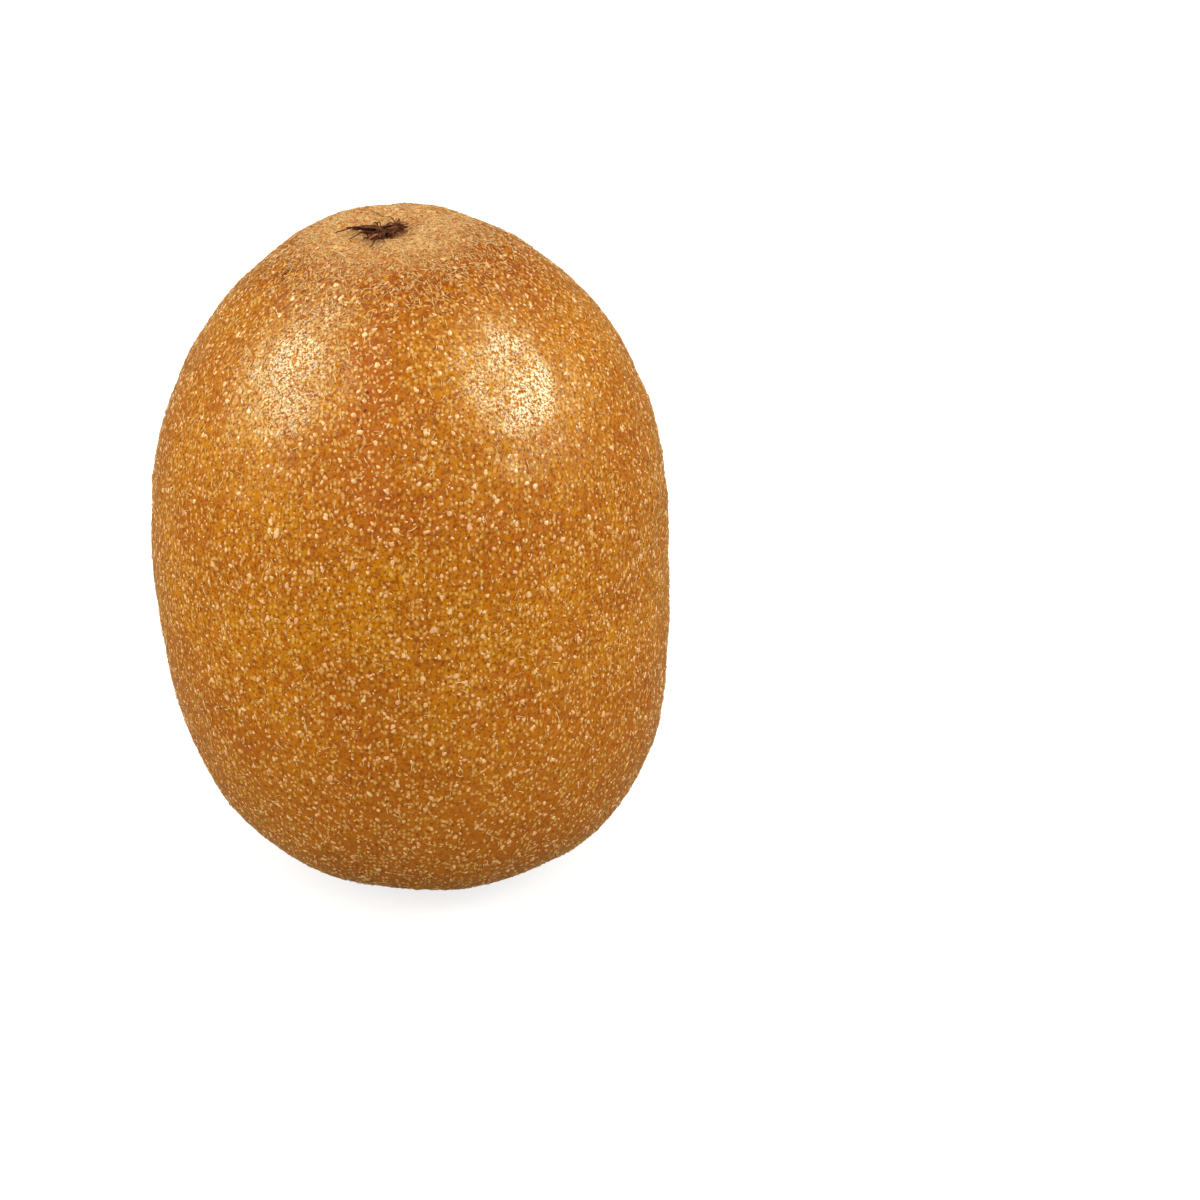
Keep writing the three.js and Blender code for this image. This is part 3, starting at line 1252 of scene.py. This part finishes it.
@dataclass
class DriedFlower:
    """The withered flower remains in the eye: styles, finer threads and the pad they spring from."""

    centre: tuple[float, float] = (-0.7, 0.3)
    fibres: tuple[Fibre, ...] = (
        Fibre((-0.9, 0.5), (-2.9, -0.3), (-5.0, -1.8), (0.55, 0.66, 0.55), 0.14, 0.0, 1),
        Fibre((-0.6, 0.7), (-1.8, 0.3), (-3.4, -0.5), (0.5, 0.7, 0.5), 0.38, 0.0, 4),
        Fibre((-0.4, 0.4), (-1.6, 0.2), (-2.6, 0.2), (0.5, 0.8, 0.6), 0.28, 0.6),
        Fibre((-0.6, 0.0), (-1.5, -0.7), (-2.6, -1.0), (0.45, 0.6, 0.45), 0.34, 0.1, 4),
        Fibre((-0.7, -0.2), (-2.2, -1.3), (-3.7, -3.2), (0.5, 0.6, 0.35), 0.12, 0.15, 1),
        Fibre((-0.9, -0.4), (-1.6, -1.3), (-2.2, -2.3), (0.4, 0.55, 0.4), 0.24, 0.5),
        Fibre((-0.8, 0.8), (0.4, 1.0), (1.8, 1.3), (0.5, 0.7, 0.5), 0.3, 0.05, 4),
        Fibre((-0.5, 0.6), (0.5, 0.7), (1.6, 0.8), (0.55, 0.75, 0.55), 0.28, 0.6),
        Fibre((-0.5, 0.2), (0.5, 0.1), (1.5, 0.1), (0.5, 0.7, 0.45), 0.3, 0.6),
        Fibre((-0.4, 0.0), (0.7, -0.2), (1.8, -0.4), (0.5, 0.6, 0.45), 0.26, 0.05, 4),
        Fibre((-0.6, -0.2), (0.1, -0.8), (0.8, -1.5), (0.45, 0.65, 0.4), 0.28, 0.3),
        Fibre((-0.6, -0.2), (-0.9, -2.0), (-1.1, -4.2), (0.6, 0.75, 0.45), 0.34, 0.4, 4),
        Fibre((-0.9, -2.0), (-1.0, -3.6), (-1.2, -5.4), (0.6, 0.7, 0.4), 0.22, 0.0, 2),
        Fibre((-0.4, -0.3), (-0.4, -1.8), (-0.2, -3.6), (0.6, 0.75, 0.4), 0.26, 0.2),
        Fibre((-0.8, -0.3), (-1.3, -1.9), (-1.8, -3.6), (0.5, 0.6, 0.3), 0.26, 0.1),
        Fibre((-1.0, -3.2), (-1.4, -4.2), (-1.8, -5.0), (0.85, 0.95, 0.8), 0.15, 1.6, 1),
        Fibre((0.6, 1.3), (0.4, 2.6), (-1.5, 3.9), (0.4, 0.45, 0.3), 0.08, 0.4, 1),
        Fibre((-0.4, 0.8), (0.4, 1.3), (1.0, 1.8), (0.5, 0.6, 0.45), 0.22, 0.3),
    )
    steps: int = 16
    sides: int = 7
    flatness: float = 0.62
    taper: float = 0.55
    thinning: float = 0.88
    fraying: tuple[tuple[float, float, float], ...] = ((0.2, 0.2, 0.06), (0.17, 0.2, 0.1), (0.32, 0.32, 0.1))
    odd_share: float = 0.6
    odd_spread: float = 0.25
    threads: int = 26
    pad_radius: float = 1.05
    pad_height: float = 0.75
    seed: int = 5

    def built(
        self,
        form: FruitForm,
        through: Array,
        half_widths: Array,
        tints: Array,
        rng: np.random.Generator,
    ) -> Shape:
        """Builds fibres over the eye's floor.

        A fibre's place on the floor and its height above it are both a quadratic curve of the
        share s of the way: (1 - s)² start + 2 s (1 - s) bend + s² end, where the bend is twice
        the middle less half the sum of start and end, so that the curve passes the middle. Two
        sine waves make it waver, and its width tapers and is knotted.

        Args:
            form: The fruit.
            through: Across, away and height at start, middle and end, as fibres x 3 x 3.
            half_widths: Half width of each at its root.
            tints: How much of the odd colour each one has.
            rng: The source of chance.

        Returns:
            The fibres.
        """
        count = len(through)
        share = np.linspace(0, 1, self.steps)[:, None]
        first, middle, last = (through[:, k : k + 1] for k in range(3))
        bend = 2 * middle - (first + last) / 2
        curve = (1 - share) ** 2 * first + 2 * share * (1 - share) * bend + share**2 * last
        phase = rng.uniform(0, 2 * math.pi, (count, 1, 3))
        waver = np.array([0.07, 0.07, 0.06]) * np.sin(9 * share + phase)
        curve = curve + (waver + 0.04 * np.sin(19 * share - phase)) * share
        over = np.full(curve.shape[:2], form.half_length - 1)
        flat = np.stack([curve[..., 0], curve[..., 1], over], -1)
        paths = form.surface(unit(flat))
        paths[..., 2] += curve[..., 2]
        up = np.broadcast_to(np.array([0, 0, 1.0]), paths.shape)
        along = share[:, 0]
        knots = 1 + 0.2 * np.sin(13 * along + phase[:, 0, :1])
        radii = half_widths[:, None] * (1 - self.taper * along**1.6) * knots
        twist = phase[:, 0, :1] + 3.0 * along * rng.normal(size=(count, 1))
        shape = strands(paths, up, radii, self.sides, self.flatness, twist)
        shape.values["tint"] = np.repeat(tints, self.steps * self.sides + 2)
        return shape

    def styles(self, form: FruitForm, rng: np.random.Generator) -> Shape:
        """Builds the named styles, each as a bundle of thinner fibres that fray a little."""
        through = np.array(
            [
                [(*place, lift) for place, lift in zip((f.start, f.middle, f.end), f.lifts)]
                for f in self.fibres
            ]
        )
        bundled = np.array([f.bundled for f in self.fibres])
        slimmed = [self.thinning * f.half_width for f in self.fibres]
        half_widths = np.repeat(slimmed / np.sqrt(bundled), bundled)
        tints = np.repeat([f.tint for f in self.fibres], bundled)
        through = np.repeat(through, bundled, axis=0)
        frayed = np.repeat(bundled > 1, bundled)[:, None, None] * rng.normal(size=through.shape)
        through = through + frayed * np.array(self.fraying)
        tints = self.odd_share * tints + self.odd_spread * frayed[:, 0, 0]
        return self.built(form, through, half_widths, tints, rng)

    def fine_threads(self, form: FruitForm, rng: np.random.Generator) -> Shape:
        """Builds fine threads from the pad in every direction, more of them to its sides."""
        count = self.threads
        turn = rng.choice([0.1, 3.2], count) + rng.normal(0, 0.7, count)
        reach = rng.uniform(0.8, 2.7, count)
        heading = np.stack([np.cos(turn), 0.8 * np.sin(turn)], -1)
        first = np.array(self.centre) + 0.4 * heading
        last = first + reach[:, None] * heading
        middle = (first + last) / 2 + rng.normal(0, 0.22, (count, 2))
        places = np.stack([first, middle, last], 1)
        lifts = rng.uniform([0.3, 0.35, 0.12], [0.7, 0.8, 0.5], (count, 3))
        through = np.concatenate([places, lifts[..., None]], -1)
        half_widths = rng.uniform(0.05, 0.1, count)
        return self.built(form, through, half_widths, self.odd_share * rng.random(count) ** 2, rng)

    def pad(self, form: FruitForm, rng: np.random.Generator) -> Shape:
        """Builds the crumpled pad that the styles spring from.

        Its rings stand at a share of its radius from its centre, which lobes of three, five
        and eight waves change, and its top is a low dome with waves in it.

        Args:
            form: The fruit.
            rng: The source of chance.

        Returns:
            The pad.
        """
        around, rings = 40, 12
        share = np.linspace(0.12, 1, rings)[:, None]
        turn = np.arange(around) * 2 * math.pi / around
        phase = rng.uniform(0, 2 * math.pi, 3)
        lobes = sum(a * np.cos(k * turn + p) for a, k, p in zip((0.16, 0.14, 0.08), (3, 5, 8), phase))
        away = self.pad_radius * share * (1 + lobes * share)
        waves = 0.14 * np.sin(5 * turn + 4 * share) * share * (1 - share) * 4
        height = self.pad_height * (1 - share**2.2) + waves - 0.08
        across, along = self.centre
        over = np.full_like(away, form.half_length - 1)
        flat = np.stack([across + away * np.cos(turn), along + away * np.sin(turn), over], -1)
        points = form.surface(unit(flat))
        points[..., 2] += height
        floor = form.surface(unit(np.array([across, along, form.half_length - 1])))
        ends = floor + np.array([0, 0, 0.7]), floor - np.array([0, 0, 0.3])
        vertices = np.concatenate([ends[0][None], points.reshape(-1, 3), ends[1][None]])
        values = {"along": np.full(len(vertices), 0.15), "tint": np.full(len(vertices), 0.3)}
        return Shape(vertices, ring_triangles(rings, around), values)

    def make(self, form: FruitForm) -> None:
        """Makes the piece: the styles, the threads and the pad in one mesh."""
        rng = np.random.default_rng(self.seed)
        shape = Shape.joined([self.styles(form, rng), self.fine_threads(form, rng), self.pad(form, rng)])
        Piece("dried_flower", shape, DRIED.material(), "dried_flower", "dried_styles").make(form)


@dataclass
class StemScar:
    """The rough woody scar where the stalk broke off, under the fruit."""

    radius: float = 1.85
    thickness: float = 0.12
    around: int = 72
    rings: int = 16
    seed: int = 17

    def make(self, form: FruitForm) -> None:
        """Makes the piece.

        Its rings stand at a share of the radius, with a ragged rim of three sets of waves. Its
        face is ringed and cracked by waves along and across the rings.

        Args:
            form: The fruit.
        """
        rng = np.random.default_rng(self.seed)
        share = np.linspace(0.08, 1, self.rings)[:, None]
        turn = -np.arange(self.around) * 2 * math.pi / self.around
        phase = rng.uniform(0, 2 * math.pi, 3)
        ragged = sum(a * np.cos(k * turn + p) for a, k, p in zip((0.05, 0.04, 0.03), (3, 7, 13), phase))
        away = self.radius * share * (1 + ragged * share)
        face = 0.6 + 0.25 * np.cos(3 * math.pi * share) + 0.2 * np.cos(9 * turn + 5 * share) * share
        height = self.thickness * face * (1 - share**8) - 0.1 * share**8
        under = np.full_like(away, -form.half_length)
        flat = np.stack([away * np.cos(turn), away * np.sin(turn), under], -1)
        points = form.surface(unit(flat), uneven=False)
        points[..., 2] -= height
        floor = form.surface(np.array([0, 0, -1.0]), uneven=False)
        ends = floor - np.array([0, 0, self.thickness * 0.85]), floor + np.array([0, 0, 0.3])
        vertices = np.concatenate([ends[0][None], points.reshape(-1, 3), ends[1][None]])
        cracks = np.broadcast_to(0.5 + 0.5 * np.cos(17 * turn), away.shape)
        grain = np.concatenate([[0.4], cracks.ravel(), [0]])
        values = {"along": grain, "tint": np.full(len(vertices), 0.25)}
        shape = Shape(vertices, ring_triangles(self.rings, self.around), values)
        Piece("stem_scar", shape, DRIED.material(), "dried_flower").make(form)


class LightUse(Enum):
    """What a light adds: even light on the colours, or only its shine on satin parts."""

    FILL = "fill"
    SHINE = "shine"


@dataclass(frozen=True)
class Softbox:
    """A square studio light, placed round the fruit by angles from the viewer's side."""

    name: str
    azimuth_deg: float
    elevation_deg: float
    width: float
    watts: float
    use: LightUse = LightUse.FILL
    tint: tuple[float, float, float] = (1.0, 1.0, 1.0)
    distance: float = 0.9

    def make(self, target: Vector) -> None:
        """Makes the light, facing the target."""
        azimuth, elevation = math.radians(self.azimuth_deg), math.radians(self.elevation_deg)
        level = math.cos(elevation)
        away = Vector((level * math.sin(azimuth), -level * math.cos(azimuth), math.sin(elevation)))
        light = bpy.data.lights.new(self.name, "AREA")
        light.energy = self.watts
        light.size = self.width
        light.color = self.tint
        made = bpy.data.objects.new(self.name, light)
        made.location = target + away * self.distance
        made.rotation_euler = away.to_track_quat("Z", "Y").to_euler()
        made.visible_diffuse = self.use is LightUse.FILL
        made.visible_glossy = self.use is LightUse.SHINE
        bpy.context.scene.collection.objects.link(made)


@dataclass
class Studio:
    """A pale floor, soft light and a camera at the photograph's viewing angle.

    The camera is given by where the fruit's middle stands in the square picture, in its pixels.
    """

    picture: float = 1200.0
    middle_across: float = 414.3
    middle_down: float = 537.8
    focal_pixels: float = 6930.0
    elevation_deg: float = 24.0
    distance: float = 0.7
    sensor: float = 36.0
    floor_half: float = 3.0
    floor_tone: Colour = srgb(172, 172, 172)
    floor_glow: float = 0.78
    reflected_floor: float = 0.12
    backdrop_glow: float = 1.1
    daylight: float = 1.12
    reflected_daylight: float = 0.02
    softboxes: tuple[Softbox, ...] = (
        Softbox("left_softbox", -86, 18, 0.34, 1.9),
        Softbox("right_softbox", 80, 33, 0.3, 1.5),
        Softbox("left_halo", -82, 40, 0.8, 8.8, LightUse.SHINE, (0.86, 1.0, 0.4)),
        Softbox("left_glint", -84, 40, 0.42, 8.8, LightUse.SHINE, (0.6, 1.0, 0.88)),
        Softbox("right_halo", 77, 35, 0.68, 7.2, LightUse.SHINE, (0.86, 1.0, 0.4)),
        Softbox("right_glint", 76, 35, 0.34, 9.6, LightUse.SHINE, (0.62, 1.0, 0.9)),
    )

    def camera(self, target: Vector) -> None:
        """Makes the camera, turned so that the target falls on its pixel.

        Args:
            target: The fruit's middle.
        """
        elevation = math.radians(self.elevation_deg)
        back = Vector((0, -math.cos(elevation), math.sin(elevation)))
        up = Vector((0, math.sin(elevation), math.cos(elevation)))
        across = (self.middle_across - self.picture / 2) / self.focal_pixels
        rise = (self.picture / 2 - self.middle_down) / self.focal_pixels
        aim = Vector((across, rise, -1)).normalized().rotation_difference(Vector((0, 0, -1)))
        square = Matrix((Vector((1, 0, 0)), up, back)).transposed()
        lens = bpy.data.cameras.new("viewer")
        lens.sensor_width = self.sensor
        lens.lens = self.sensor * self.focal_pixels / self.picture
        lens.clip_end = 20
        made = bpy.data.objects.new("viewer", lens)
        turned = square @ aim.to_matrix()
        made.matrix_world = Matrix.Translation(target + back * self.distance) @ turned.to_4x4()
        bpy.context.scene.collection.objects.link(made)
        bpy.context.scene.camera = made

    def floor(self) -> None:
        """Makes the floor, which is so bright to the viewer that it fades into the backdrop."""
        half = self.floor_half
        corners = [(-half, -half, 0), (half, -half, 0), (half, half, 0), (-half, half, 0)]
        mesh = bpy.data.meshes.new("floor")
        mesh.from_pydata(corners, [], [(0, 1, 2, 3)])
        made, sheet, shader = plain_material("pale_floor")
        shader.inputs["Roughness"].default_value = 0.9
        rays = sheet.add("ShaderNodeLightPath", {}).outputs
        shader.inputs["Emission Color"].default_value = (1, 1, 1, 1)
        glow = sheet.math("MULTIPLY", rays["Is Camera Ray"], self.floor_glow)
        sheet.feed(shader.inputs["Emission Strength"], glow)
        dim = (*(self.reflected_floor * channel for channel in self.floor_tone[:3]), 1)
        sheet.feed(shader.inputs["Base Color"], sheet.mix(rays["Is Glossy Ray"], self.floor_tone, dim))
        mesh.materials.append(made)
        floor = bpy.data.objects.new("floor", mesh)
        bpy.context.scene.collection.objects.link(floor)

    def backdrop(self) -> None:
        """Lights the scene evenly from all round, and shows the viewer plain white."""
        world = bpy.data.worlds.new("studio")
        world.use_nodes = True
        bpy.context.scene.world = world
        sheet = NodeSheet(world.node_tree)
        background = world.node_tree.nodes["Background"]
        background.inputs["Color"].default_value = (1, 1, 1, 1)
        rays = sheet.add("ShaderNodeLightPath", {}).outputs
        lit = sheet.remap(rays["Is Glossy Ray"], 0.0, 1.0, self.daylight, self.reflected_daylight)
        shown = sheet.remap(rays["Is Camera Ray"], 0.0, 1.0, lit, self.backdrop_glow)
        sheet.feed(background.inputs["Strength"], shown)

    def make(self, form: FruitForm) -> None:
        """Sets up everything round the fruit."""
        target = Vector(form.middle * MM)
        self.camera(target)
        self.floor()
        self.backdrop()
        for softbox in self.softboxes:
            softbox.make(target)
        bpy.context.scene.view_settings.view_transform = "Standard"


def main() -> None:
    """Builds the fruit piece by piece and sets up the studio."""
    logging.basicConfig(level=logging.INFO, format="%(name)s: %(message)s")
    form = FruitForm()
    Skin().make(form)
    spots = SPOTS.material()
    Spots(
        "small_spots",
        per_mm2=0.75,
        half_width=0.18,
        width_spread=0.25,
        height=0.06,
        sides=6,
        levels=((0.62, 0.75), (1.0, -0.5)),
        seed=21,
    ).make(form, spots)
    Spots(
        "large_spots",
        per_mm2=0.16,
        half_width=0.28,
        width_spread=0.2,
        height=0.06,
        sides=10,
        levels=((0.45, 0.95), (0.8, 0.6), (1.0, -0.5)),
        seed=22,
    ).make(form, spots)
    Hairs(
        "bristles",
        per_mm2=0.75,
        length=0.55,
        length_spread=0.35,
        half_width=0.072,
        stand=0.08,
        wander=0.7,
        curl=0.35,
        seed=31,
        density=sides_density,
        steps=4,
    ).make(form, BRISTLES.material())
    Hairs(
        "down",
        per_mm2=11.0,
        length=0.48,
        length_spread=0.35,
        half_width=0.066,
        stand=0.11,
        wander=1.2,
        curl=0.5,
        seed=32,
        density=downy,
    ).make(form, DOWN.material())
    SmallScars().make(form)
    DriedFlower().make(form)
    StemScar().make(form)
    Studio().make(form)


if __name__ == "__main__":
    main()
